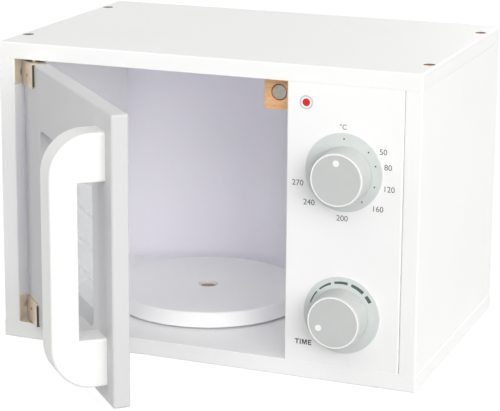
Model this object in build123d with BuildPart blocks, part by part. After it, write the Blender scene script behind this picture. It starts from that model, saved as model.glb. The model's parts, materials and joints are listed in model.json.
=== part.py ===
from build123d import *
import os
from dataclasses import dataclass
from math import cos, radians, sin

os.makedirs("parts", exist_ok=True)

# A toy microwave of painted boards. Millimetres, +X to the right, +Y to the back, +Z up.
# The origin is the middle of the base panel's underside.
cabinet_width = 290
cabinet_depth = 188
cabinet_height = 204
board = 11
edge_round = 1.0
seam_round = 0.4
base_overhang = 0.4

half_width = cabinet_width / 2
front = -cabinet_depth / 2
back = cabinet_depth / 2
floor_z = board
ceiling_z = cabinet_height - board
left_wall_x = -half_width + board
right_wall_x = half_width - board
board_middle = half_width - board / 2

# The control board fills the front between the door and the right side, and the
# partition behind it closes the oven's right side.
control_left_x = 57.8
control_gap = 0.2
control_right_x = right_wall_x - control_gap
partition_x = 66.5
partition_middle = partition_x + board / 2
front_board_middle = front + board / 2
back_board_middle = back - board / 2

# The door hangs on a pivot pin at each of its hinge corners and stands 47 degrees open.
# Its own frame has X along the door, Y towards its rear face, and the pins at zero.
door_open_angle = 47
door_gap_side = 1.1
door_gap_latch = 0.6
door_gap_height = 1.4
pin_inset = 12.8
pin_x = left_wall_x + door_gap_side + pin_inset
door_width = control_left_x - left_wall_x - door_gap_side - door_gap_latch
door_bottom_z = floor_z + door_gap_height
door_top_z = ceiling_z - door_gap_height
door_left = -pin_inset
door_right = door_left + door_width
door_front = -board / 2
door_rear = board / 2
door_round = 1.5
door_x = (cos(radians(door_open_angle)), -sin(radians(door_open_angle)), 0)
door_y = (sin(radians(door_open_angle)), cos(radians(door_open_angle)), 0)
door_frame = Plane(origin=(pin_x, front_board_middle, 0), x_dir=door_x, z_dir=(0, 0, 1))

door_stile = 38
window_left = door_left + door_stile
window_right = door_right - door_stile
window_low_z = 51.5
window_high_z = 150.5
window_corner = 5
pane_margin = 9
pane_corner = 4
pane_thickness = 2
pane_screw_margin = 5

handle_left = 146.1
handle_thickness = 19.9
handle_reach = 34.2
handle_low_z = 23.3
handle_high_z = 179.3
handle_corner = 26
grip_thickness = 17.4
arm_height = 30
handle_round = 1.6

# Pivot hinges of bent nickel-plated plate
leaf = 1.5
door_leaf_left = door_left + 1.2
door_leaf_length = 25.4
door_leaf_height = 16.4
cabinet_leaf_length = 26
cabinet_leaf_depth = 14
cabinet_leaf_height = 18
cabinet_leaf_front = front + 1.2
pin_radius = 2.0
pin_reach = 4.4
pin_head_radius = 3.5
pin_head_height = 1.0
pin_hole_spare = 0.3
pin_hole_spare_depth = 0.6
leaf_corner = 3
leaf_screw_inset = 9
door_flange_back = door_rear - 2
hinge_washer_radius = 3.2
hinge_washer_gap = 0.1

# Magnet catch at the oven's upper right corner
block_width = 20
block_depth = 18
block_height = 21
block_left_x = 38.2
block_front_y = front + board + 0.3
block_middle_x = block_left_x + block_width / 2
block_round = 0.8
block_screw_setback = 12
magnet_radius = 5
magnet_depth = 8
magnet_sink = 0.2
magnet_chamfer = 0.4
glue_gap = 0.35
magnet_z = 183
keeper_thickness = 1.5

turntable_radius = 66
turntable_x = (left_wall_x + partition_x) / 2
turntable_lift = 1.5
turntable_low_z = floor_z + turntable_lift
turntable_high_z = turntable_low_z + board
spindle_radius = 7
spindle_low_z = 3
spindle_high_z = turntable_high_z - 2.2
turntable_washer_radius = 17
turntable_round = 1.3
dowel_chamfer = 0.6

dial_radius = 25.2
dial_thickness = 0.8
knob_length = 16.4
knob_foot_radius = 17.8
knob_face_radius = 17.3
knob_gap = 0.3
knob_face_round = 0.9
knob_foot_round = 0.5
knob_bore_depth = 10
knob_washer_radius = 7.5
knob_washer_thickness = 1
knob_screw_gap = 0.1
dial_round = 0.3
dial_hole_spare = 0.5
temperature_dial_at = (95.7, 138.1)
temperature_knob_at = (96.5, 137.1)
timer_dial_at = (96.0, 45.3)
timer_knob_at = (96.0, 45.3)

# Spare round parts that are joined, and round parts that turn
fit = 0.05
running_fit = 0.08
bottom = (Align.CENTER, Align.CENTER, Align.MIN)


@dataclass
class Screw:
    head_radius: float
    head_height: float
    shank_radius: float
    length: float
    drive: float
    countersunk: bool = True
    hexagon: bool = False
    sink: float = 0.0


carcass_screw = Screw(3.8, 3.0, 2.5, length=42, drive=4.6, countersunk=False, hexagon=True, sink=0.8)
block_screw = Screw(3.2, 1.6, 1.6, length=28, drive=3.6)
plate_screw = Screw(2.6, 1.2, 1.4, length=8.5, drive=2.8)
handle_screw = Screw(3.6, 1.8, 1.8, length=32, drive=4.4)
pane_screw = Screw(2.6, 1.4, 1.2, length=8, drive=3, countersunk=False)
knob_screw = Screw(4.4, 2.4, 2.5, length=23.6, drive=4, countersunk=False)
drive_depth_share = 0.8


def screw_shape(screw, at, into, spare=0.0, mode=Mode.ADD):
    """Screws whose heads start at the points and whose shanks run along into."""
    for point in at:
        seat = Plane(origin=point, z_dir=into).offset(screw.sink)
        with Locations(seat):
            if screw.countersunk:
                Cone(screw.head_radius + spare, screw.shank_radius + spare, screw.head_height,
                     align=bottom, mode=mode)
            else:
                Cylinder(screw.head_radius + spare, screw.head_height, align=bottom, mode=mode)
        with Locations(seat.offset(screw.head_height)):
            Cylinder(screw.shank_radius + spare, screw.length - screw.head_height + spare,
                     align=bottom, mode=mode)


def screw_drive(screw, at, into):
    """The recess that a driver fits, a cross of two slots or a hexagon."""
    for point in at:
        seat = Plane(origin=point, z_dir=into).offset(screw.sink)
        with BuildSketch(seat) as recess:
            if screw.hexagon:
                RegularPolygon(screw.drive / 2, 6)
            else:
                Rectangle(screw.drive, screw.drive / 4)
                Rectangle(screw.drive / 4, screw.drive)
        extrude(recess.sketch, amount=screw.head_height * drive_depth_share, mode=Mode.SUBTRACT)


def screw_hole(screw, at, into):
    """Clearance holes for screw_shape, open above a sunk head."""
    screw_shape(screw, at, into, fit, Mode.SUBTRACT)
    if screw.sink:
        for point in at:
            with Locations(Plane(origin=point, z_dir=into)):
                Cylinder(screw.head_radius + fit, screw.sink, align=bottom, mode=Mode.SUBTRACT)


def round_hole(at, into, radius, depth):
    """Plain round holes from the points along into."""
    for point in at:
        with Locations(Plane(origin=point, z_dir=into)):
            Cylinder(radius, depth, align=bottom, mode=Mode.SUBTRACT)


def block(low, high, mode=Mode.ADD):
    """An upright box between two corners."""
    middle = tuple((a + b) / 2 for a, b in zip(low, high))
    size = tuple(b - a for a, b in zip(low, high))
    with Locations(middle):
        Box(*size, mode=mode)


# Points shared by the boards and by what joins them
side_screw_y = 62.5
partition_screw_y = 55
back_screw_x = (-90, 20)
control_screw_x = 112
side_points = [(x, y) for x in (-board_middle, board_middle) for y in (-side_screw_y, side_screw_y)]
inner_points = [(partition_middle, y) for y in (-partition_screw_y, partition_screw_y)]
inner_points += [(x, back_board_middle) for x in back_screw_x]
inner_points.append((control_screw_x, front_board_middle))
down = (0, 0, -1)
up = (0, 0, 1)
rearward = (0, 1, 0)
forward = (0, -1, 0)
leftward = (-1, 0, 0)

top_screw_points = [(x, y, cabinet_height) for x, y in side_points]
base_screw_points = [(x, y, 0) for x, y in side_points + inner_points]
dowel_radius = 3
dowel_length = 17
dowel_depth_in_top = 8
dowel_points = [(x, y, ceiling_z) for x, y in inner_points]
hinge_screw_z = {"upper": door_top_z - leaf_screw_inset, "lower": door_bottom_z + leaf_screw_inset}
cabinet_leaf_screw_y = cabinet_leaf_front + leaf_screw_inset
cabinet_leaf_screw_points = [(left_wall_x, cabinet_leaf_screw_y, z) for z in hinge_screw_z.values()]
pin_hole_radius = pin_radius + pin_hole_spare
pin_hole_depth = pin_reach + pin_hole_spare_depth
block_screw_at = (block_middle_x, block_front_y + block_screw_setback, ceiling_z - block_height)
cabinet_pocket_right = left_wall_x + cabinet_leaf_length + fit
cabinet_pocket_back = cabinet_leaf_front + cabinet_leaf_depth + fit

with BuildPart() as base_panel:
    block((-half_width - base_overhang, front, 0), (half_width + base_overhang, back, board))
    fillet(base_panel.edges().filter_by(Axis.Z), edge_round)
    fillet(base_panel.edges().group_by(Axis.Z)[0], edge_round)
    fillet(base_panel.edges().group_by(Axis.Z)[-1], seam_round)
    screw_hole(carcass_screw, base_screw_points, up)
    round_hole([(turntable_x, 0, spindle_low_z)], up, spindle_radius + fit, board)
    block((left_wall_x - leaf, cabinet_leaf_front - fit, floor_z - leaf),
          (cabinet_pocket_right, cabinet_pocket_back, floor_z), Mode.SUBTRACT)
    round_hole([(pin_x, front_board_middle, floor_z)], down, pin_hole_radius, pin_hole_depth)
base_panel.part.label = "base_panel"
export_step(base_panel.part, "parts/base_panel.step")

with BuildPart() as top_panel:
    block((-half_width, front, ceiling_z), (half_width, back, cabinet_height))
    fillet(top_panel.edges().filter_by(Axis.Z), edge_round)
    fillet(top_panel.edges().group_by(Axis.Z)[-1], edge_round)
    fillet(top_panel.edges().group_by(Axis.Z)[0], seam_round)
    screw_hole(carcass_screw, top_screw_points, down)
    round_hole(dowel_points, up, dowel_radius + fit, dowel_depth_in_top + fit)
    screw_hole(block_screw, [block_screw_at], up)
    block((left_wall_x - leaf, cabinet_leaf_front - fit, ceiling_z),
          (cabinet_pocket_right, cabinet_pocket_back, ceiling_z + leaf), Mode.SUBTRACT)
    round_hole([(pin_x, front_board_middle, ceiling_z)], up, pin_hole_radius, pin_hole_depth)
top_panel.part.label = "top_panel"
export_step(top_panel.part, "parts/top_panel.step")

with BuildPart() as left_side_panel:
    block((-half_width, front, floor_z), (left_wall_x, back, ceiling_z))
    fillet(left_side_panel.edges().filter_by(Axis.Z), edge_round)
    screw_hole(carcass_screw, [p for p in top_screw_points if p[0] < 0], down)
    screw_hole(carcass_screw, [p for p in base_screw_points if p[0] < left_wall_x], up)
    for low, high in ((floor_z, floor_z + cabinet_leaf_height), (ceiling_z - cabinet_leaf_height, ceiling_z)):
        block((left_wall_x - leaf, cabinet_leaf_front - fit, low),
              (left_wall_x, cabinet_pocket_back, high), Mode.SUBTRACT)
    screw_hole(plate_screw, cabinet_leaf_screw_points, leftward)
left_side_panel.part.label = "left_side_panel"
export_step(left_side_panel.part, "parts/left_side_panel.step")

with BuildPart() as right_side_panel:
    block((right_wall_x, front, floor_z), (half_width, back, ceiling_z))
    fillet(right_side_panel.edges().filter_by(Axis.Z), edge_round)
    screw_hole(carcass_screw, [p for p in top_screw_points if p[0] > 0], down)
    screw_hole(carcass_screw, [p for p in base_screw_points if p[0] > right_wall_x], up)
right_side_panel.part.label = "right_side_panel"
export_step(right_side_panel.part, "parts/right_side_panel.step")

with BuildPart() as back_panel:
    block((left_wall_x, back - board, floor_z), (right_wall_x, back, ceiling_z))
    screw_hole(carcass_screw, base_screw_points, up)
    round_hole(dowel_points, down, dowel_radius + fit, dowel_length - dowel_depth_in_top + fit)
back_panel.part.label = "back_panel"
export_step(back_panel.part, "parts/back_panel.step")

with BuildPart() as partition_panel:
    block((partition_x, front + board, floor_z), (partition_x + board, back - board, ceiling_z))
    screw_hole(carcass_screw, base_screw_points, up)
    round_hole(dowel_points, down, dowel_radius + fit, dowel_length - dowel_depth_in_top + fit)
partition_panel.part.label = "partition_panel"
export_step(partition_panel.part, "parts/partition_panel.step")

with BuildPart() as control_panel:
    block((control_left_x, front, floor_z), (control_right_x, front + board, ceiling_z))
    fillet(control_panel.edges().filter_by(Axis.Z).group_by(Axis.Y)[0], edge_round)
    screw_hole(carcass_screw, base_screw_points, up)
    round_hole(dowel_points, down, dowel_radius + fit, dowel_length - dowel_depth_in_top + fit)
    for x, z in (temperature_knob_at, timer_knob_at):
        round_hole([(x, front, z)], rearward, knob_screw.shank_radius + running_fit, board)
control_panel.part.label = "control_panel"
export_step(control_panel.part, "parts/control_panel.step")

with BuildPart() as top_screws:
    screw_shape(carcass_screw, top_screw_points, down)
    screw_drive(carcass_screw, top_screw_points, down)
top_screws.part.label = "top_screws"
export_step(top_screws.part, "parts/top_screws.step")

with BuildPart() as base_screws:
    screw_shape(carcass_screw, base_screw_points, up)
    screw_drive(carcass_screw, base_screw_points, up)
base_screws.part.label = "base_screws"
export_step(base_screws.part, "parts/base_screws.step")

with BuildPart() as panel_dowels:
    for x, y, z in dowel_points:
        with Locations((x, y, z + dowel_depth_in_top)):
            Cylinder(dowel_radius, dowel_length, align=(Align.CENTER, Align.CENTER, Align.MAX))
    chamfer(panel_dowels.edges().filter_by(GeomType.CIRCLE), dowel_chamfer)
panel_dowels.part.label = "panel_dowels"
export_step(panel_dowels.part, "parts/panel_dowels.step")

with BuildPart() as magnet_block:
    block((block_left_x, block_front_y, ceiling_z - block_height),
          (block_left_x + block_width, block_front_y + block_depth, ceiling_z))
    fillet(magnet_block.edges().filter_by(Axis.Z), block_round)
    round_hole([(block_middle_x, block_front_y, magnet_z)], rearward, magnet_radius + glue_gap, magnet_depth)
    screw_hole(block_screw, [block_screw_at], up)
magnet_block.part.label = "magnet_block"
export_step(magnet_block.part, "parts/magnet_block.step")

with BuildPart() as magnet_block_screw:
    screw_shape(block_screw, [block_screw_at], up)
    screw_drive(block_screw, [block_screw_at], up)
magnet_block_screw.part.label = "magnet_block_screw"
export_step(magnet_block_screw.part, "parts/magnet_block_screw.step")

with BuildPart() as catch_magnet:
    magnet_face = Plane(origin=(block_middle_x, block_front_y + magnet_sink, magnet_z), z_dir=rearward)
    with BuildSketch(magnet_face):
        Circle(magnet_radius)
    extrude(amount=magnet_depth - magnet_sink)
    chamfer(catch_magnet.edges().filter_by(GeomType.CIRCLE), magnet_chamfer)
catch_magnet.part.label = "catch_magnet"
export_step(catch_magnet.part, "parts/catch_magnet.step")

# Turntable: a round board that spins on a dowel fixed in the base, on a thin washer
with BuildPart() as turntable_spindle:
    with BuildSketch(Plane.XY.offset(spindle_low_z)):
        with Locations((turntable_x, 0)):
            Circle(spindle_radius)
    extrude(amount=spindle_high_z - spindle_low_z)
    chamfer(turntable_spindle.edges().filter_by(GeomType.CIRCLE), dowel_chamfer)
turntable_spindle.part.label = "turntable_spindle"
export_step(turntable_spindle.part, "parts/turntable_spindle.step")

with BuildPart() as turntable_washer:
    with BuildSketch(Plane.XY.offset(floor_z)):
        with Locations((turntable_x, 0)):
            Circle(turntable_washer_radius)
            Circle(spindle_radius + fit, mode=Mode.SUBTRACT)
    extrude(amount=turntable_lift)
turntable_washer.part.label = "turntable_washer"
export_step(turntable_washer.part, "parts/turntable_washer.step")

with BuildPart() as turntable_disc:
    with BuildSketch(Plane.XY.offset(turntable_low_z)):
        with Locations((turntable_x, 0)):
            Circle(turntable_radius)
            Circle(spindle_radius + running_fit, mode=Mode.SUBTRACT)
    extrude(amount=board)
    fillet(turntable_disc.edges().filter_by(GeomType.CIRCLE).group_by(SortBy.RADIUS)[-1], turntable_round)
turntable_disc.part.label = "turntable_disc"
export_step(turntable_disc.part, "parts/turntable_disc.step")


# The door and what it carries, drawn in the door's own frame
door_rearward = door_y
door_forward = tuple(-v for v in door_y)
door_leftward = tuple(-v for v in door_x)


def door_point(x, y, z):
    """A point given along the door, from front to rear and upwards."""
    return tuple(door_frame.from_local_coords(Vector(x, y, z)))


def door_box(low, high, mode=Mode.ADD):
    """A box between two corners in the door's frame."""
    middle = tuple((a + b) / 2 for a, b in zip(low, high))
    size = tuple(b - a for a, b in zip(low, high))
    with Locations(Plane(origin=door_point(*middle), x_dir=door_x, z_dir=(0, 0, 1))):
        Box(*size, mode=mode)


def door_face(y):
    """The upright plane at y in the door's frame, seen from the front."""
    return Plane(origin=door_point(0, y, 0), x_dir=door_x, z_dir=door_forward)


# each hinge's end of the door, the way into the door (down or up), and the direction out of it
leaf_ends = {"upper": (door_top_z, -1, up), "lower": (door_bottom_z, 1, down)}
window_middle_x = (window_left + window_right) / 2
window_middle_z = (window_low_z + window_high_z) / 2
window_width = window_right - window_left
window_height = window_high_z - window_low_z
pane_screw_x = (window_left - pane_screw_margin, window_right + pane_screw_margin)
pane_screw_z = (window_low_z - pane_screw_margin, window_high_z + pane_screw_margin)
pane_screw_points = [door_point(x, door_rear + pane_thickness + pane_screw.head_height, z)
                     for x in pane_screw_x for z in pane_screw_z]
handle_middle = handle_left + handle_thickness / 2
handle_screw_points = [door_point(handle_middle, door_rear, z)
                       for z in (handle_low_z + arm_height / 2, handle_high_z - arm_height / 2)]
door_leaf_screw_x = door_leaf_left + door_leaf_length / 2
door_leaf_screw_points = [door_point(door_leaf_screw_x, door_front - leaf, z) for z in hinge_screw_z.values()]
keeper_x = block_middle_x - pin_x

with BuildPart() as door_board:
    door_box((door_left, door_front, door_bottom_z), (door_right, door_rear, door_top_z))
    fillet(door_board.edges(), door_round)
    with BuildSketch(door_face(door_front)):
        with Locations((window_middle_x, window_middle_z)):
            RectangleRounded(window_width, window_height, window_corner)
    extrude(amount=-board, mode=Mode.SUBTRACT)
    for z, inward, outward in leaf_ends.values():
        low, high = sorted((z, z + inward * leaf))
        door_box((door_leaf_left - fit, door_front, low),
                 (door_leaf_left + door_leaf_length + fit, door_flange_back, high), Mode.SUBTRACT)
        round_hole([door_point(0, 0, z + inward * leaf)], tuple(-v for v in outward),
                   pin_head_radius + fit, pin_head_height + fit)
    screw_hole(plate_screw, door_leaf_screw_points, door_rearward)
    screw_hole(pane_screw, pane_screw_points, door_forward)
    screw_hole(handle_screw, handle_screw_points, door_forward)
    round_hole([door_point(keeper_x, door_rear, magnet_z)], door_forward, magnet_radius + fit, keeper_thickness)
door_board.part.label = "door_board"
export_step(door_board.part, "parts/door_board.step")

with BuildPart() as window_pane:
    with BuildSketch(door_face(door_rear)):
        with Locations((window_middle_x, window_middle_z)):
            RectangleRounded(window_width + 2 * pane_margin, window_height + 2 * pane_margin, pane_corner)
    extrude(amount=-pane_thickness)
    screw_hole(pane_screw, pane_screw_points, door_forward)
window_pane.part.label = "window_pane"
export_step(window_pane.part, "parts/window_pane.step")

with BuildPart() as window_pane_screws:
    screw_shape(pane_screw, pane_screw_points, door_forward)
    screw_drive(pane_screw, pane_screw_points, door_forward)
window_pane_screws.part.label = "window_pane_screws"
export_step(window_pane_screws.part, "parts/window_pane_screws.step")

# The handle is a thick board cut to a C and stood on the door's front face.
handle_side = Plane(origin=door_point(handle_left + handle_thickness, door_front, 0),
                    x_dir=door_forward, z_dir=door_leftward)
with BuildPart() as door_handle:
    with BuildSketch(handle_side):
        with BuildLine():
            Polyline((0, handle_high_z), (0, handle_low_z), (handle_reach - handle_corner, handle_low_z))
            RadiusArc((handle_reach - handle_corner, handle_low_z),
                      (handle_reach, handle_low_z + handle_corner), -handle_corner)
            Line((handle_reach, handle_low_z + handle_corner), (handle_reach, handle_high_z - handle_corner))
            RadiusArc((handle_reach, handle_high_z - handle_corner),
                      (handle_reach - handle_corner, handle_high_z), -handle_corner)
            Line((handle_reach - handle_corner, handle_high_z), (0, handle_high_z))
        make_face()
        with Locations((0, (handle_low_z + handle_high_z) / 2)):
            Rectangle(2 * (handle_reach - grip_thickness), handle_high_z - handle_low_z - 2 * arm_height,
                      mode=Mode.SUBTRACT)
    extrude(amount=handle_thickness)
    side_edges = door_handle.faces().filter_by(Axis((0, 0, 0), door_x)).edges()
    on_door = door_handle.faces().sort_by(Axis((0, 0, 0), door_forward))[0:2].edges()
    fillet(side_edges - on_door, handle_round)
    screw_hole(handle_screw, handle_screw_points, door_forward)
door_handle.part.label = "door_handle"
export_step(door_handle.part, "parts/door_handle.step")

with BuildPart() as handle_screws:
    screw_shape(handle_screw, handle_screw_points, door_forward)
    screw_drive(handle_screw, handle_screw_points, door_forward)
handle_screws.part.label = "handle_screws"
export_step(handle_screws.part, "parts/handle_screws.step")

with BuildPart() as door_keeper:
    with BuildSketch(Plane(origin=door_point(keeper_x, door_rear, magnet_z), z_dir=door_forward)):
        Circle(magnet_radius)
    extrude(amount=keeper_thickness)
door_keeper.part.label = "door_keeper"
export_step(door_keeper.part, "parts/door_keeper.step")

# Upper and lower hinge: the same leaves, turned end for end
for name, (door_end, inward, outward) in leaf_ends.items():
    cabinet_end = door_end - inward * door_gap_height
    plate_z = sorted((door_end, door_end + inward * door_leaf_height))
    flange_z = sorted((door_end, door_end + inward * leaf))
    with BuildPart() as door_leaf:
        door_box((door_leaf_left, door_front - leaf, plate_z[0]),
                 (door_leaf_left + door_leaf_length, door_front, plate_z[1]))
        free_corners = door_leaf.edges().filter_by(Axis((0, 0, 0), door_y)).group_by(Axis.Z)
        fillet(free_corners[0 if inward < 0 else -1], leaf_corner)
        door_box((door_leaf_left, door_front - leaf, flange_z[0]),
                 (door_leaf_left + door_leaf_length, door_flange_back - fit, flange_z[1]))
        round_hole([door_point(0, 0, door_end)], tuple(-v for v in outward), pin_radius + fit, leaf)
        screw_hole(plate_screw, door_leaf_screw_points, door_rearward)
    door_leaf.part.label = f"{name}_hinge_door_leaf"
    export_step(door_leaf.part, f"parts/{name}_hinge_door_leaf.step")

    wall_z = sorted((cabinet_end, cabinet_end + inward * cabinet_leaf_height))
    sunk_z = sorted((cabinet_end, cabinet_end - inward * leaf))
    with BuildPart() as cabinet_leaf:
        block((left_wall_x - leaf, cabinet_leaf_front, wall_z[0]),
              (left_wall_x, cabinet_leaf_front + cabinet_leaf_depth, wall_z[1]))
        free_corners = cabinet_leaf.edges().filter_by(Axis.X).group_by(Axis.Z)
        fillet(free_corners[0 if inward < 0 else -1], leaf_corner)
        block((left_wall_x - leaf, cabinet_leaf_front, sunk_z[0]),
              (left_wall_x + cabinet_leaf_length, cabinet_leaf_front + cabinet_leaf_depth, sunk_z[1]))
        round_hole([(pin_x, front_board_middle, cabinet_end)], outward, pin_radius + fit, leaf)
        screw_hole(plate_screw, [(left_wall_x, cabinet_leaf_screw_y, hinge_screw_z[name])], leftward)
    cabinet_leaf.part.label = f"{name}_hinge_cabinet_leaf"
    export_step(cabinet_leaf.part, f"parts/{name}_hinge_cabinet_leaf.step")

    with BuildPart() as hinge_pin:
        pin_foot = Plane(origin=(pin_x, front_board_middle, door_end + inward * leaf), z_dir=outward)
        with Locations(pin_foot):
            Cylinder(pin_radius, leaf + door_gap_height + pin_reach, align=bottom)
        with Locations(pin_foot.offset(-pin_head_height)):
            Cylinder(pin_head_radius, pin_head_height, align=bottom)
    hinge_pin.part.label = f"{name}_hinge_pin"
    export_step(hinge_pin.part, f"parts/{name}_hinge_pin.step")

    with BuildPart() as hinge_washer:
        washer_foot = Plane(origin=(pin_x, front_board_middle, cabinet_end), z_dir=tuple(-v for v in outward))
        with Locations(washer_foot):
            Cylinder(hinge_washer_radius, door_gap_height - hinge_washer_gap, align=bottom)
            Cylinder(pin_radius + fit, door_gap_height, align=bottom, mode=Mode.SUBTRACT)
    hinge_washer.part.label = f"{name}_hinge_washer"
    export_step(hinge_washer.part, f"parts/{name}_hinge_washer.step")

with BuildPart() as hinge_door_screws:
    screw_shape(plate_screw, door_leaf_screw_points, door_rearward)
    screw_drive(plate_screw, door_leaf_screw_points, door_rearward)
hinge_door_screws.part.label = "hinge_door_screws"
export_step(hinge_door_screws.part, "parts/hinge_door_screws.step")

with BuildPart() as hinge_cabinet_screws:
    screw_shape(plate_screw, cabinet_leaf_screw_points, leftward)
    screw_drive(plate_screw, cabinet_leaf_screw_points, leftward)
hinge_cabinet_screws.part.label = "hinge_cabinet_screws"
export_step(hinge_cabinet_screws.part, "parts/hinge_cabinet_screws.step")

# Two knobs, each on a screw that turns in the control board, over a thin dial disc
controls = {"temperature": (temperature_dial_at, temperature_knob_at), "timer": (timer_dial_at, timer_knob_at)}
for name, (dial_at, knob_at) in controls.items():
    dial_face = Plane(origin=(dial_at[0], front, dial_at[1]), x_dir=(1, 0, 0), z_dir=forward)
    knob_foot_y = front - dial_thickness - knob_gap
    knob_face_y = knob_foot_y - knob_length
    washer_y = front + board
    head_y = washer_y + knob_washer_thickness + knob_screw_gap
    screw_at = (knob_at[0], head_y + knob_screw.head_height, knob_at[1])
    with BuildPart() as dial_disc:
        with BuildSketch(dial_face):
            Circle(dial_radius)
            with Locations((knob_at[0] - dial_at[0], knob_at[1] - dial_at[1])):
                Circle(knob_screw.shank_radius + dial_hole_spare, mode=Mode.SUBTRACT)
        extrude(amount=dial_thickness)
        fillet(dial_disc.faces().sort_by(Axis.Y)[0].outer_wire().edges(), dial_round)
    dial_disc.part.label = f"{name}_dial_disc"
    export_step(dial_disc.part, f"parts/{name}_dial_disc.step")

    with BuildPart() as knob:
        with BuildSketch(Plane.XY):
            with BuildLine():
                Polyline((0, 0), (knob_foot_radius, 0), (knob_face_radius, knob_length), (0, knob_length),
                         close=True)
            make_face()
        revolve(axis=Axis.Y)
        fillet(knob.edges().filter_by(GeomType.CIRCLE).sort_by(Axis.Y)[-1], knob_face_round)
        fillet(knob.edges().filter_by(GeomType.CIRCLE).sort_by(Axis.Y)[0], knob_foot_round)
        with Locations(Plane(origin=(0, 0, 0), z_dir=(0, 1, 0))):
            Cylinder(knob_screw.shank_radius + fit, knob_bore_depth, align=bottom, mode=Mode.SUBTRACT)
    knob_part = Pos(knob_at[0], knob_foot_y, knob_at[1]) * Rot(Z=180) * knob.part
    knob_part.label = f"{name}_knob"
    export_step(knob_part, f"parts/{name}_knob.step")

    with BuildPart() as axle_screw:
        screw_shape(knob_screw, [screw_at], forward)
        screw_drive(knob_screw, [screw_at], forward)
    axle_screw.part.label = f"{name}_knob_screw"
    export_step(axle_screw.part, f"parts/{name}_knob_screw.step")

    with BuildPart() as back_washer:
        with BuildSketch(Plane(origin=(knob_at[0], washer_y, knob_at[1]), z_dir=rearward)):
            Circle(knob_washer_radius)
            Circle(knob_screw.shank_radius + running_fit, mode=Mode.SUBTRACT)
        extrude(amount=knob_washer_thickness)
    back_washer.part.label = f"{name}_knob_washer"
    export_step(back_washer.part, f"parts/{name}_knob_washer.step")
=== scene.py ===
"""Looks of a toy microwave: white lacquered boards, a grey window door, dials and printed scales."""
import json
import math

import bmesh
import bpy
from mathutils import Matrix, Vector


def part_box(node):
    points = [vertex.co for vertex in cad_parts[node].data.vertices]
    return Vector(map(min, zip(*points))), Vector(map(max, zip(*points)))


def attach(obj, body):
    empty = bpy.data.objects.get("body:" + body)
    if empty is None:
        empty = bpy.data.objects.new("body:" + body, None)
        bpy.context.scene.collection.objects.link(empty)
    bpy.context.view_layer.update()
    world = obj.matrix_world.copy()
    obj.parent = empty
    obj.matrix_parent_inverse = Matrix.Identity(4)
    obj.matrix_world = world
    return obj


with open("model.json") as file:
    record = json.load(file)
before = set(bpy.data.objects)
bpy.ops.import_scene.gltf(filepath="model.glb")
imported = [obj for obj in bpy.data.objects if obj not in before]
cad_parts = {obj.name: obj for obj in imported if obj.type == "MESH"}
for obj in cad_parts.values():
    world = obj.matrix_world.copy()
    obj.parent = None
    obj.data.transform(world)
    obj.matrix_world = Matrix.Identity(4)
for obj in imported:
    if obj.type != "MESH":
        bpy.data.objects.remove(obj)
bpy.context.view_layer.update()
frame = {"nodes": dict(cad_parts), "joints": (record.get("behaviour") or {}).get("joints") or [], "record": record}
nodes = frame["nodes"]
joints = {joint["name"]: joint for joint in frame["joints"]}
mm = 0.001

# the photograph shows the door 47 degrees open, and so does the model at rest
door_open = math.radians(47)
door_along = Vector((math.cos(door_open), -math.sin(door_open), 0))
door_back = Vector((math.sin(door_open), math.cos(door_open), 0))

# the photograph's camera, solved from the straight edges of the cabinet and the door
picture_width = 500
picture_height = 411
focal_length_pixels = 1914.9
principal_x = 200
principal_y = 145
camera_place = (0.4576, -1.1920, 0.4259)
camera_yaw = math.radians(22.670)
camera_pitch = math.radians(13.203)
camera_roll = math.radians(0.079)

camera_data = bpy.data.cameras.new("camera")
camera_data.sensor_width = 36
camera_data.lens = focal_length_pixels * camera_data.sensor_width / picture_width
camera_data.shift_x = (picture_width / 2 - principal_x) / picture_width
camera_data.shift_y = (principal_y - picture_height / 2) / picture_width
camera_data.clip_start = 0.05
camera = bpy.data.objects.new("camera", camera_data)
camera.matrix_world = (
    Matrix.Translation(camera_place)
    @ Matrix.Rotation(camera_yaw, 4, "Z")
    @ Matrix.Rotation(math.pi / 2 - camera_pitch, 4, "X")
    @ Matrix.Rotation(camera_roll, 4, "Z")
)
bpy.context.scene.collection.objects.link(camera)
bpy.context.scene.camera = camera


def linear(code):
    """The linear colour of an sRGB hex value."""
    channels = [int(code[start:start + 2], 16) / 255 for start in (1, 3, 5)]
    return [c / 12.92 if c <= 0.04045 else ((c + 0.055) / 1.055) ** 2.4 for c in channels] + [1.0]


def add(tree, kind, inputs=None, **settings):
    """Adds a shader node with its settings, and sets or links its inputs."""
    made = tree.nodes.new("ShaderNode" + kind)
    for name, value in settings.items():
        setattr(made, name, value)
    for socket, value in (inputs or {}).items():
        if isinstance(value, bpy.types.NodeSocket):
            tree.links.new(value, made.inputs[socket])
        else:
            made.inputs[socket].default_value = value
    return made


def empty_material(name):
    """A material with no nodes, and its tree."""
    material = bpy.data.materials.new(name)
    material.use_nodes = True
    material.node_tree.nodes.clear()
    return material, material.node_tree


def give_surface(tree, shader):
    """Makes the shader the material's surface."""
    add(tree, "OutputMaterial", {"Surface": shader.outputs[0]})


def blend(tree, share, first, second):
    """The colour that goes from the first to the second as the share goes from 0 to 1."""
    return add(tree, "Mix", {0: share, 6: first, 7: second}, data_type="RGBA").outputs[2]


def looked_at(tree):
    """1 for rays of the camera, off gloss and through glass, and 0 for the light that bounces."""
    rays = add(tree, "LightPath")
    shown = add(tree, "Math", {0: rays.outputs["Is Camera Ray"], 1: rays.outputs["Is Glossy Ray"]},
                operation="MAXIMUM")
    return add(tree, "Math", {0: shown.outputs["Value"], 1: rays.outputs["Is Transmission Ray"]},
               operation="MAXIMUM").outputs["Value"]


# the sinks of the four top screws: how far their middles stand from the cabinet's middle,
# how far round them the mask reaches, and the height under which it shows their walls, bare board on the right and
# painted shade on the left
sink_away = (139.5 * mm, 62.5 * mm, 0)
sink_reach = 5.0 * mm
sink_mask_under_z = 203.8 * mm


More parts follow.
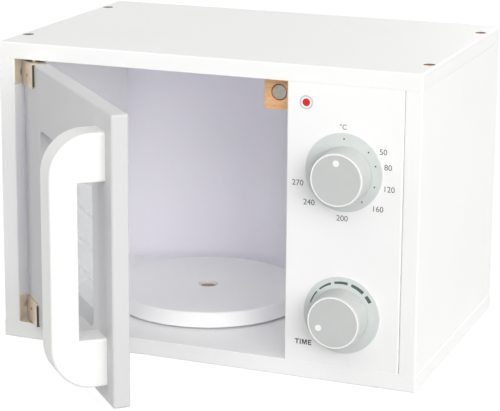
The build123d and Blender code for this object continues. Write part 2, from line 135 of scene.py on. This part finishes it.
def satin_lacquer(name, colour, cloud_colour, bare_and_shaded_sinks=False):
    """Water-based satin lacquer sprayed on sanded fibreboard.

    It gives the eye an even pale colour with a soft sheen, a very faint orange peel
    and a few dust nibs under the last coat.
    """
    material, tree = empty_material(name)
    place = add(tree, "TexCoord").outputs["Object"]
    # the coat's thickness wanders over about 70 mm
    cloud = add(tree, "TexNoise", {"Vector": place, "Scale": 1 / (70 * mm), "Detail": 2.0})
    thickness = add(tree, "MapRange", {"Value": cloud.outputs["Fac"], "From Min": 0.35, "From Max": 0.65})
    base = blend(tree, thickness.outputs["Result"], linear(colour), linear(cloud_colour))
    if bare_and_shaded_sinks:
        # the walls of the two right sinks have no lacquer, so they show the fibreboard; the two left ones get
        # painted shade
        folded = add(tree, "VectorMath", {0: place}, operation="ABSOLUTE")
        away = add(tree, "VectorMath", {0: folded.outputs["Vector"], 1: sink_away}, operation="SUBTRACT")
        flat = add(tree, "VectorMath", {0: away.outputs["Vector"], 1: (1, 1, 0)}, operation="MULTIPLY")
        radius = add(tree, "VectorMath", {0: flat.outputs["Vector"]}, operation="LENGTH")
        near = add(tree, "Math", {0: radius.outputs["Value"], 1: sink_reach}, operation="LESS_THAN")
        parted = add(tree, "SeparateXYZ", {"Vector": place})
        below = add(tree, "Math", {0: parted.outputs["Z"], 1: sink_mask_under_z}, operation="LESS_THAN")
        bare_board_and_shade = add(tree, "Math", {0: near.outputs["Value"], 1: below.outputs["Value"]}, operation="MULTIPLY")
        fibres = add(tree, "TexNoise", {"Vector": place, "Scale": 1 / (0.6 * mm), "Detail": 4.0})
        board = blend(tree, fibres.outputs["Fac"], linear("#7A5638"), linear("#B98E66"))
        # the two left sinks are drawn mid grey inside, painted shade in the hollow; the two right ones brown bare
        # board
        left = add(tree, "Math", {0: parted.outputs["X"], 1: 0.0}, operation="LESS_THAN")
        lining = blend(tree, left.outputs["Value"], board, linear("#8E8E90"))
        base = blend(tree, bare_board_and_shade.outputs["Value"], base, lining)
    # orange peel is about 1.5 mm across, drawn at 3 mm so that it shows
    peel = add(tree, "TexNoise", {"Vector": place, "Scale": 1 / (3 * mm), "Detail": 2.0})
    peel_bump = add(tree, "Bump", {"Height": peel.outputs["Fac"], "Strength": 0.25, "Distance": 0.03 * mm})
    # dust nibs of about half a millimetre, some 14 mm apart
    nibs = add(tree, "TexVoronoi", {"Vector": place, "Scale": 1 / (14 * mm)})
    nib = add(tree, "MapRange", {"Value": nibs.outputs["Distance"], "From Min": 0.0, "From Max": 0.03,
                                 "To Min": 1.0, "To Max": 0.0})
    nib_bump = add(tree, "Bump", {"Height": nib.outputs["Result"], "Strength": 0.4, "Distance": 0.05 * mm,
                                  "Normal": peel_bump.outputs["Normal"]})
    sheen = add(tree, "MapRange", {"Value": cloud.outputs["Fac"], "From Min": 0.3, "From Max": 0.7,
                                   "To Min": 0.36, "To Max": 0.46})
    shader = add(tree, "BsdfPrincipled", {"Base Color": base, "Roughness": sheen.outputs["Result"],
                                          "IOR": 1.5, "Normal": nib_bump.outputs["Normal"]})
    give_surface(tree, shader)
    return material


def lacquered_hardwood(name, colour, grain_colour):
    """Solid beech under white satin lacquer: smooth, with the faintest long grain showing through."""
    material, tree = empty_material(name)
    place = add(tree, "TexCoord").outputs["Object"]
    # the grain runs up the handle: bands about 2.5 mm wide and 60 mm long
    band_scale = (1 / (2.5 * mm), 1 / (2.5 * mm), 1 / (60 * mm))
    drawn_out = add(tree, "Mapping", {"Vector": place, "Scale": band_scale})
    grain = add(tree, "TexNoise", {"Vector": drawn_out.outputs["Vector"], "Scale": 1.0, "Detail": 4.0})
    shown = add(tree, "MapRange", {"Value": grain.outputs["Fac"], "From Min": 0.4, "From Max": 0.7})
    tone = blend(tree, shown.outputs["Result"], linear(colour), linear(grain_colour))
    peel = add(tree, "TexNoise", {"Vector": place, "Scale": 1 / (3 * mm), "Detail": 2.0})
    peel_bump = add(tree, "Bump", {"Height": peel.outputs["Fac"], "Strength": 0.2, "Distance": 0.03 * mm})
    grain_bump = add(tree, "Bump", {"Height": grain.outputs["Fac"], "Strength": 0.15, "Distance": 0.03 * mm,
                                    "Normal": peel_bump.outputs["Normal"]})
    sheen = add(tree, "MapRange", {"Value": grain.outputs["Fac"], "From Min": 0.3, "From Max": 0.7,
                                   "To Min": 0.32, "To Max": 0.42})
    shader = add(tree, "BsdfPrincipled", {"Base Color": tone, "Roughness": sheen.outputs["Result"],
                                          "IOR": 1.5, "Normal": grain_bump.outputs["Normal"]})
    give_surface(tree, shader)
    return material


def beech(name, colour, late_wood, fleck_colour, grain_along):
    """Sanded beech with a thin clear coat: a warm ground, soft growth bands and short dark ray flecks."""
    material, tree = empty_material(name)
    place = add(tree, "TexCoord").outputs["Object"]
    # bands are 2.2 mm wide and 30 mm long, flecks 0.35 mm and 2.5 mm, both along the grain's axis
    band_scale = [1 / (2.2 * mm)] * 3
    fleck_scale = [1 / (0.35 * mm)] * 3
    band_scale[grain_along] = 1 / (30 * mm)
    fleck_scale[grain_along] = 1 / (2.5 * mm)
    band_place = add(tree, "Mapping", {"Vector": place, "Scale": band_scale})
    bands = add(tree, "TexNoise", {"Vector": band_place.outputs["Vector"], "Scale": 1.0, "Detail": 5.0,
                                   "Distortion": 0.4})
    band_share = add(tree, "MapRange", {"Value": bands.outputs["Fac"], "From Min": 0.35, "From Max": 0.7})
    ground = blend(tree, band_share.outputs["Result"], linear(colour), linear(late_wood))
    fleck_place = add(tree, "Mapping", {"Vector": place, "Scale": fleck_scale})
    flecks = add(tree, "TexNoise", {"Vector": fleck_place.outputs["Vector"], "Scale": 1.0, "Detail": 1.0})
    fleck_share = add(tree, "MapRange", {"Value": flecks.outputs["Fac"], "From Min": 0.6, "From Max": 0.72,
                                         "To Min": 0.0, "To Max": 0.75})
    tone = blend(tree, fleck_share.outputs["Result"], ground, linear(fleck_colour))
    pores = add(tree, "Bump", {"Height": flecks.outputs["Fac"], "Strength": 0.3, "Distance": 0.05 * mm})
    shader = add(tree, "BsdfPrincipled", {"Base Color": tone, "Roughness": 0.48, "IOR": 1.5,
                                          "Normal": pores.outputs["Normal"]})
    give_surface(tree, shader)
    return material


def plated_steel(name, colour, stain_colour, roughness, brushed_along=2, painted_dark_end=None):
    """Stamped steel with a thin plating: a soft metal shine, fine rolling lines and cloudy stains.

    Given a colour for the leaf's ends, the faces that look along the door take it: painted shade on the end faces.
    """
    material, tree = empty_material(name)
    place = add(tree, "TexCoord").outputs["Object"]
    line_scale = [1 / (0.25 * mm)] * 3
    line_scale[brushed_along] = 1 / (12 * mm)
    line_place = add(tree, "Mapping", {"Vector": place, "Scale": line_scale})
    lines = add(tree, "TexNoise", {"Vector": line_place.outputs["Vector"], "Scale": 1.0, "Detail": 3.0})
    stains = add(tree, "TexNoise", {"Vector": place, "Scale": 1 / (5 * mm), "Detail": 3.0})
    stain_share = add(tree, "MapRange", {"Value": stains.outputs["Fac"], "From Min": 0.4, "From Max": 0.7})
    tone = blend(tree, stain_share.outputs["Result"], linear(colour), linear(stain_colour))
    if painted_dark_end:
        # the leaf's end faces, picked out by the way they face, are painted dark: painted shade
        facing = add(tree, "VectorMath", {0: add(tree, "TexCoord").outputs["Normal"], 1: door_along},
                     operation="DOT_PRODUCT")
        dark_end_share = add(tree, "MapRange", {"Value": facing.outputs["Value"], "From Min": 0.75, "From Max": 0.95})
        tone = blend(tree, dark_end_share.outputs["Result"], tone, linear(painted_dark_end))
    dullness = add(tree, "MapRange", {"Value": lines.outputs["Fac"], "From Min": 0.3, "From Max": 0.7,
                                      "To Min": roughness - 0.05, "To Max": roughness + 0.08})
    bump = add(tree, "Bump", {"Height": lines.outputs["Fac"], "Strength": 0.2, "Distance": 0.02 * mm})
    shader = add(tree, "BsdfPrincipled", {"Base Color": tone, "Metallic": 1.0,
                                          "Roughness": dullness.outputs["Result"],
                                          "Normal": bump.outputs["Normal"]})
    give_surface(tree, shader)
    return material


def moulded_plastic(name, colour, flow_colour, roughness):
    """Plain plastic: matt, with a fine even grain and faint clouds."""
    material, tree = empty_material(name)
    place = add(tree, "TexCoord").outputs["Object"]
    flow = add(tree, "TexNoise", {"Vector": place, "Scale": 1 / (15 * mm), "Detail": 2.0})
    flow_share = add(tree, "MapRange", {"Value": flow.outputs["Fac"], "From Min": 0.35, "From Max": 0.65})
    tone = blend(tree, flow_share.outputs["Result"], linear(colour), linear(flow_colour))
    # the real grain is about 0.1 mm, drawn at 0.6 mm so that it shows
    grain = add(tree, "TexNoise", {"Vector": place, "Scale": 1 / (0.6 * mm), "Detail": 3.0})
    bump = add(tree, "Bump", {"Height": grain.outputs["Fac"], "Strength": 0.25, "Distance": 0.03 * mm})
    gloss = add(tree, "MapRange", {"Value": grain.outputs["Fac"], "From Min": 0.3, "From Max": 0.7,
                                   "To Min": roughness - 0.04, "To Max": roughness + 0.06})
    shader = add(tree, "BsdfPrincipled", {"Base Color": tone, "Roughness": gloss.outputs["Result"],
                                          "IOR": 1.53, "Normal": bump.outputs["Normal"]})
    give_surface(tree, shader)
    return material


def clear_acrylic(name):
    """Cast acrylic sheet, 2 mm thick: see-through, with a sharp gloss and a breath of haze from handling."""
    material, tree = empty_material(name)
    place = add(tree, "TexCoord").outputs["Object"]
    wipes = add(tree, "TexNoise", {"Vector": place, "Scale": 1 / (18 * mm), "Detail": 3.0})
    haze = add(tree, "MapRange", {"Value": wipes.outputs["Fac"], "From Min": 0.35, "From Max": 0.7,
                                  "To Min": 0.05, "To Max": 0.12})
    veil = blend(tree, wipes.outputs["Fac"], linear("#F4F7F8"), linear("#EAEFF0"))
    shader = add(tree, "BsdfPrincipled", {"Base Color": veil, "Roughness": haze.outputs["Result"],
                                          "IOR": 1.49, "Alpha": 0.3})
    give_surface(tree, shader)
    return material


def screen_ink(name, colour, thin_colour):
    """Screen-printed ink: flat and matt, a touch thinner where the mesh let less through."""
    material, tree = empty_material(name)
    place = add(tree, "TexCoord").outputs["Object"]
    # mesh threads of about 0.15 mm, drawn at 0.4 mm
    mesh = add(tree, "TexNoise", {"Vector": place, "Scale": 1 / (0.4 * mm), "Detail": 2.0})
    thin = add(tree, "MapRange", {"Value": mesh.outputs["Fac"], "From Min": 0.45, "From Max": 0.75})
    tone = blend(tree, thin.outputs["Result"], linear(colour), linear(thin_colour))
    bump = add(tree, "Bump", {"Height": mesh.outputs["Fac"], "Strength": 0.2, "Distance": 0.01 * mm})
    shader = add(tree, "BsdfPrincipled", {"Base Color": tone, "Roughness": 0.55, "IOR": 1.5,
                                          "Normal": bump.outputs["Normal"]})
    give_surface(tree, shader)
    return material


white_lacquer = satin_lacquer("white_satin_lacquer_on_fibreboard", "#F8F8F9", "#F7F7F8")
# the top panel's lacquer, with bare fibreboard in the two right screw sinks and painted shade in the two left ones
white_lacquer_drilled = satin_lacquer("white_satin_lacquer_with_bare_and_painted_shade_sinks", "#F7F7F8", "#F6F6F7",
                                      bare_and_shaded_sinks=True)
# the back board is the same white lacquer, tinted lilac and a little darker: painted shade, the colour of the
# cavity's shaded depth
back_lacquer_painted_shade = satin_lacquer("white_satin_lacquer_with_painted_lilac_shade_on_back_board", "#F5F3FB", "#F4F2FA")
disc_lacquer = satin_lacquer("white_satin_lacquer_on_turned_disc", "#F9F9FA", "#F7F7F9")
grey_lacquer = satin_lacquer("pale_grey_satin_lacquer_on_fibreboard", "#D4D4D7", "#D2D2D5")
handle_lacquer = lacquered_hardwood("white_satin_lacquer_on_beech", "#F5F5F5", "#F3F3F2")
block_beech = beech("sanded_beech_block", "#EDBD88", "#D9A068", "#B97F48", 0)
dowel_beech = beech("sanded_beech_dowel_end_grain", "#AD9187", "#8F766C", "#6A5147", 2)
# the door leaf's end faces carry painted shade
leaf_nickel = plated_steel("nickel_plated_stamped_leaf", "#DCD2C4", "#D1C6B6", 0.42, painted_dark_end="#5F574C")
# the cabinet leaf is the door leaf's nickel painted lighter and creamier: a painted reflection of the white
# surroundings
wall_leaf_nickel = plated_steel("nickel_plated_leaf_painted_lighter_as_reflection", "#F4EEE4", "#EAE2D5", 0.5)
screw_zinc = plated_steel("zinc_plated_steel", "#C9C9C8", "#B4B3B0", 0.32)
screw_browned = plated_steel("browned_steel", "#8C8378", "#6B6157", 0.38)
magnet_plating = plated_steel("ground_nickel_plated_magnet", "#B9B2A8", "#A39C92", 0.34, 0)
nylon = moulded_plastic("turned_white_nylon", "#EFEEE9", "#E8E7E1", 0.5)
dial_plastic = moulded_plastic("pale_grey_moulded_ABS", "#D5DAD9", "#D2D7D6", 0.42)
knob_plastic = moulded_plastic("grey_moulded_ABS", "#C8CBCA", "#C5C8C7", 0.4)
pane_acrylic = clear_acrylic("clear_cast_acrylic")
grey_ink = screen_ink("dark_grey_screen_ink", "#505254", "#626466")
black_ink = screen_ink("black_screen_ink", "#262626", "#343434")
green_grey_ink = screen_ink("green_grey_screen_ink", "#4E5C5B", "#5B6968")
ring_ink = screen_ink("pale_blue_grey_screen_ink", "#C8D1D6", "#D0D8DC")
red_ink = screen_ink("red_screen_ink", "#D81400", "#DC1E08")
white_ink = screen_ink("white_screen_ink", "#FAFAFA", "#F5F6F6")

finishes = {
    "white_painted_board": white_lacquer,
    "white_painted_disc": disc_lacquer,
    "grey_painted_board": grey_lacquer,
    "white_painted_handle": handle_lacquer,
    "natural_beech": block_beech,
    "clear_pane": pane_acrylic,
    "nickel_plated_steel": leaf_nickel,
    "browned_steel": screw_browned,
    "zinc_plated_steel": screw_zinc,
    "magnet_steel": magnet_plating,
    "white_nylon": nylon,
    "grey_dial": dial_plastic,
    "grey_knob": knob_plastic,
}
other_finishes = {
    "top_panel": white_lacquer_drilled,
    "back_panel": back_lacquer_painted_shade,
    "upper_hinge_cabinet_leaf": wall_leaf_nickel,
    "lower_hinge_cabinet_leaf": wall_leaf_nickel,
    "turntable_spindle": dowel_beech,
    "panel_dowels": dowel_beech,
}
for part in frame["record"]["subparts"]:
    dressed = nodes[part["node"]]
    finish = other_finishes.get(part["node"], finishes[part["material_slot"]])
    dressed.data.materials.clear()
    dressed.data.materials.append(finish)

# printed marks: how thick they are, how many points a circle has, and how near points are welded
print_thickness = 0.04 * mm
print_segments = 96
weld_distance = 0.001 * mm


def facing_front(x, y, z):
    """A place on a face that looks forward: local x runs right, local y up, local z out of the face."""
    return Matrix.Translation((x, y, z)) @ Matrix.Rotation(math.pi / 2, 4, "X")


def mesh_piece(name, shape, material, body):
    """Turns a bmesh into a piece that rides on a body."""
    mesh = bpy.data.meshes.new(name)
    shape.to_mesh(mesh)
    shape.free()
    mesh.materials.append(material)
    piece = bpy.data.objects.new(name, mesh)
    bpy.context.scene.collection.objects.link(piece)
    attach(piece, body)


def raise_outline(shape, outer, inner, place):
    """Adds a closed thin plate between two outlines with the same number of points, or inside one."""
    low, high = [], []
    for outline in (outer, inner) if inner else (outer,):
        low.append([shape.verts.new(place @ Vector((u, v, -print_thickness / 2))) for u, v in outline])
        high.append([shape.verts.new(place @ Vector((u, v, print_thickness))) for u, v in outline])
    count = len(outer)
    for i in range(count):
        j = (i + 1) % count
        shape.faces.new((low[0][i], low[0][j], high[0][j], high[0][i]))
        if inner:
            shape.faces.new((low[1][j], low[1][i], high[1][i], high[1][j]))
            shape.faces.new((high[0][i], high[0][j], high[1][j], high[1][i]))
            shape.faces.new((low[0][j], low[0][i], low[1][i], low[1][j]))
    if not inner:
        shape.faces.new(high[0])
        shape.faces.new(list(reversed(low[0])))


def circle(radius, at=(0, 0)):
    """Points round a circle, anticlockwise."""
    turns = [2 * math.pi * i / print_segments for i in range(print_segments)]
    return [(at[0] + radius * math.cos(turn), at[1] + radius * math.sin(turn)) for turn in turns]


def clock_point(radius, degrees):
    """A point by its radius and its angle clockwise from straight up."""
    turn = math.radians(degrees)
    return radius * math.sin(turn), radius * math.cos(turn)


def lettering(name, words, place, material, body):
    """Prints words, each given as text, x, y and height, on the face at place."""
    shape = bmesh.new()
    for text, x, y, height in words:
        curve = bpy.data.curves.new(name, "FONT")
        curve.body = text
        curve.size = height
        curve.align_x = "CENTER"
        curve.extrude = print_thickness / 2
        written = bpy.data.objects.new(name, curve)
        bpy.context.scene.collection.objects.link(written)
        bpy.context.view_layer.update()
        mesh = bpy.data.meshes.new_from_object(written)
        ys = [v.co.y for v in mesh.vertices]
        xs = [v.co.x for v in mesh.vertices]
        grow = height / (max(ys) - min(ys))
        middle = Vector(((max(xs) + min(xs)) / 2, (max(ys) + min(ys)) / 2, 0))
        mesh.transform(place @ Matrix.Translation((x, y, print_thickness / 2))
                       @ Matrix.Diagonal((grow, grow, 1, 1)) @ Matrix.Translation(-middle))
        shape.from_mesh(mesh)
        bpy.data.objects.remove(written)
        bpy.data.curves.remove(curve)
        bpy.data.meshes.remove(mesh)
    bmesh.ops.remove_doubles(shape, verts=shape.verts, dist=weld_distance)
    mesh_piece(name, shape, material, body)


board_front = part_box("control_panel")[0].y
board_face = facing_front(0, board_front, 0)
temperature_low, temperature_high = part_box("temperature_dial_disc")
timer_low, timer_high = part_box("timer_dial_disc")
temperature_middle = (temperature_low + temperature_high) / 2
timer_middle = (timer_low + timer_high) / 2

# the temperature scale round the upper dial: text, x and z in millimetres
number_height = 3.6 * mm
celsius_height = 3.3 * mm
celsius_at = (94.8 * mm, 167.0 * mm)
scale_words = [("50", 121.0, 153.3), ("80", 124.2, 143.8), ("120", 125.5, 130.0), ("160", 118.5, 116.8),
               ("200", 95.1, 108.6), ("240", 73.1, 116.8), ("270", 65.5, 128.8)]
lettering("temperature_scale_numbers",
          [(text, x * mm, z * mm, number_height) for text, x, z in scale_words],
          board_face, grey_ink, "cabinet")
lettering("celsius_sign", [("°C", *celsius_at, celsius_height)], board_face, grey_ink, "cabinet")

# the word under the timer, in plain bold capitals with straight strokes, in millimetres:
# where it starts, its foot, the capitals' height, the strokes' width, and each letter's corners
time_left, time_foot, cap = 65.0, 22.6, 3.4
stroke = 0.68
letter_t = [(1.02, 0), (1.7, 0), (1.7, cap - stroke), (2.72, cap - stroke), (2.72, cap), (0, cap),
            (0, cap - stroke), (1.02, cap - stroke)]
letter_i = [(3.2, 0), (3.9, 0), (3.9, cap), (3.2, cap)]
letter_m = [(4.7, 0), (5.32, 0), (5.32, 2.3), (6.1, 0), (6.62, 0), (7.4, 2.3), (7.4, 0), (8.02, 0),
            (8.02, cap), (7.1, cap), (6.36, 1.1), (5.62, cap), (4.7, cap)]
letter_e = [(8.75, 0), (11.2, 0), (11.2, stroke), (9.43, stroke), (9.43, 1.45), (11.0, 1.45), (11.0, 2.05),
            (9.43, 2.05), (9.43, cap - stroke), (11.15, cap - stroke), (11.15, cap), (8.75, cap)]
word = bmesh.new()
for letter in (letter_t, letter_i, letter_m, letter_e):
    raise_outline(word, [((time_left + u) * mm, (time_foot + v) * mm) for u, v in letter], None, board_face)
mesh_piece("time_word", word, black_ink, "cabinet")

# the indicator lamp is printed: a red spot in a pale ring
indicator_at = (70.4 * mm, 180.5 * mm)
indicator_radius = 2.5 * mm
indicator_ring_outer = 4.55 * mm
indicator_ring_inner = 3.45 * mm
spot = bmesh.new()
raise_outline(spot, circle(indicator_radius, indicator_at), None, board_face)
mesh_piece("indicator_spot", spot, red_ink, "cabinet")
ring = bmesh.new()
raise_outline(ring, circle(indicator_ring_outer, indicator_at), circle(indicator_ring_inner, indicator_at),
              board_face)
mesh_piece("indicator_ring", ring, ring_ink, "cabinet")

# marks on the dial discs, their angles clockwise from straight up
mark_radius = 21.5 * mm
dot_radius = 0.55 * mm
dot_degrees = (0, 48, 74, 110, 145, 180, 215, 248)
first_mark_radius = 0.5 * mm
first_mark_degrees = -81
temperature_face = facing_front(temperature_middle.x, temperature_low.y, temperature_middle.z)
dots = bmesh.new()
for degrees in dot_degrees:
    raise_outline(dots, circle(dot_radius, clock_point(mark_radius, degrees)), None, temperature_face)
mesh_piece("temperature_marks", dots, grey_ink, "cabinet")

timer_face = facing_front(timer_middle.x, timer_low.y, timer_middle.z)
dashes = bmesh.new()
# from, to, and half the dash's width at each end: the arc swells clockwise
dash_rows = [(-73.6, -49.8, 0.35, 0.5), (-43.2, -19.7, 0.5, 0.75), (-13.0, 10.4, 0.75, 0.95),
             (17.0, 40.8, 0.95, 1.15), (47.8, 60.8, 1.1, 1.2)]
dash_steps = 16
for start, end, half_first, half_last in dash_rows:
    rim, hub = [], []
    for step in range(dash_steps + 1):
        share = step / dash_steps
        half = (half_first + (half_last - half_first) * share) * mm
        degrees = start + (end - start) * share
        rim.append(clock_point(mark_radius + half, degrees))
        hub.append(clock_point(mark_radius - half, degrees))
    raise_outline(dashes, rim + hub[::-1], None, timer_face)
mesh_piece("timer_dashes", dashes, green_grey_ink, "cabinet")
first_mark = bmesh.new()
raise_outline(first_mark, circle(first_mark_radius, clock_point(mark_radius, first_mark_degrees)), None,
              timer_face)
mesh_piece("timer_first_mark", first_mark, ring_ink, "cabinet")

# rings and spots on the knobs' faces
knob_face_radius = 17.3 * mm
knob_rounding = 0.9 * mm
ring_inner = 15.85 * mm
ring_steps = 5
ring_wrap = math.radians(20)
knob_spot_radius = 2.05 * mm
knob_spots = {"temperature": (-0.3 * mm, 10.6 * mm), "timer": (-9.5 * mm, -4.3 * mm)}
for knob, spot_at in knob_spots.items():
    low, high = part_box(f"{knob}_knob")
    place = facing_front((low.x + high.x) / 2, low.y, (low.z + high.z) / 2)
    # the ring follows the face and then its rounded edge: radius and height above the face
    profile = [(ring_inner, print_thickness)]
    for step in range(ring_steps + 1):
        turn = ring_wrap * step / ring_steps
        reach = knob_rounding + print_thickness
        profile.append((knob_face_radius - knob_rounding + reach * math.sin(turn),
                        reach * math.cos(turn) - knob_rounding))
    profile.append((profile[-1][0] - print_thickness, profile[-1][1] - print_thickness * 2))
    profile.append((ring_inner, -print_thickness))
    band = bmesh.new()
    hoops = [[band.verts.new(place @ Vector((u, v, height))) for u, v in circle(radius)]
             for radius, height in profile]
    for first, second in zip(hoops, hoops[1:] + hoops[:1]):
        for i in range(print_segments):
            j = (i + 1) % print_segments
            band.faces.new((first[i], second[i], second[j], first[j]))
    mesh_piece(f"{knob}_knob_ring", band, white_ink, f"{knob}_knob_body")
    pointer = bmesh.new()
    raise_outline(pointer, circle(knob_spot_radius, spot_at), None, place)
    mesh_piece(f"{knob}_knob_spot", pointer, white_ink, f"{knob}_knob_body")

# four white lines across the window, printed on the pane's front, which lies on the board's rear face
door_axis = Vector(joints["door_hinge"]["pos_m"])
pane_front = 5.5 * mm
window_left, window_right = 25.2 * mm, 139.4 * mm
line_heights = (70.5 * mm, 90.5 * mm, 110.5 * mm, 130.5 * mm)
pane_place = Matrix.Translation((door_axis.x, door_axis.y, 0)) @ Matrix(
    ((door_along.x, 0, -door_back.x, door_back.x * pane_front),
     (door_along.y, 0, -door_back.y, door_back.y * pane_front),
     (0, 1, 0, 0),
     (0, 0, 0, 1)))
line_half = 1.0 * mm
lines = bmesh.new()
for z in line_heights:
    raise_outline(lines, [(window_left, z - line_half), (window_right, z - line_half),
                          (window_right, z + line_half), (window_left, z + line_half)], None, pane_place)
mesh_piece("window_lines", lines, white_ink, "door")

# the floor is matt paper with a glow that only the camera, gloss and glass see, so it looks white
# where it is lit and still shows the shadow
floor_size = 12.0
floor_glow = 0.75
floor_shape = bmesh.new()
bmesh.ops.create_grid(floor_shape, x_segments=1, y_segments=1, size=floor_size / 2)
floor_mesh = bpy.data.meshes.new("floor")
floor_shape.to_mesh(floor_mesh)
floor_shape.free()
floor = bpy.data.objects.new("floor", floor_mesh)
bpy.context.scene.collection.objects.link(floor)
paper, paper_tree = empty_material("white_paper_sweep")
fibres = add(paper_tree, "TexNoise", {"Vector": add(paper_tree, "TexCoord").outputs["Object"],
                                      "Scale": 1 / (4 * mm), "Detail": 2.0})
paper_tone = blend(paper_tree, fibres.outputs["Fac"], linear("#B5B5B6"), linear("#B1B1B2"))
matt = add(paper_tree, "BsdfDiffuse", {"Color": paper_tone})
lift = add(paper_tree, "Math", {0: looked_at(paper_tree), 1: floor_glow}, operation="MULTIPLY")
glow = add(paper_tree, "Emission", {"Strength": lift.outputs["Value"]})
both = add(paper_tree, "AddShader", {0: matt.outputs[0], 1: glow.outputs[0]})
give_surface(paper_tree, both)
floor_mesh.materials.append(paper)

# the world lights the object softly, and is plain white to the camera, gloss and glass
room_strength = 0.25
world = bpy.data.worlds.new("studio")
world.use_nodes = True
world.node_tree.nodes.clear()
studio = world.node_tree
room =add(studio, "Background", {"Color": linear("#FBFBFD"), "Strength": room_strength})
white = add(studio, "Background", {"Color": linear("#FFFFFF"), "Strength": 1.0})
mixed = add(studio, "MixShader", {0: looked_at(studio), 1: room.outputs[0], 2: white.outputs[0]})
add(studio, "OutputWorld", {"Surface": mixed.outputs[0]})
bpy.context.scene.world = world

target = Vector((0, -0.02, 0.1))
lamp_white = "#FFFFFB"
lamp_lilac = "#F8F5FF"


def softbox(name, place, size, power, colour=lamp_white, spread=180):
    """A square soft lamp that looks at the object, its light held within spread degrees."""
    data = bpy.data.lights.new(name, "AREA")
    data.size = size
    data.energy = power
    data.spread = math.radians(spread)
    data.color = linear(colour)[:3]
    lamp = bpy.data.objects.new(name, data)
    lamp.location = place
    lamp.rotation_euler = (target - Vector(place)).to_track_quat("-Z", "Y").to_euler()
    bpy.context.scene.collection.objects.link(lamp)


softbox("front_right", (3.3, -3.3, 2.0), 3.0, 92)
softbox("front_right_low", (3.6, -3.6, 0.5), 3.0, 78)
softbox("front_high", (0.2, -3.6, 3.4), 2.8, 54)
softbox("left", (-4.0, -2.6, 1.5), 2.8, 60)
softbox("right", (4.8, -0.8, 1.1), 2.8, 60)
softbox("top", (0.0, 0.0, 4.2), 2.8, 18)
softbox("back", (0.6, 4.6, 1.6), 3.0, 85)
# a weak narrow lamp that reaches the back of the cavity
softbox("cavity", (0.85, -2.1, 0.3), 0.2, 0.019, lamp_lilac, 11)

bpy.context.scene.view_settings.view_transform = "Standard"
# light bounces many times in the white cavity before it comes out again
bpy.context.scene.cycles.diffuse_bounces = 10
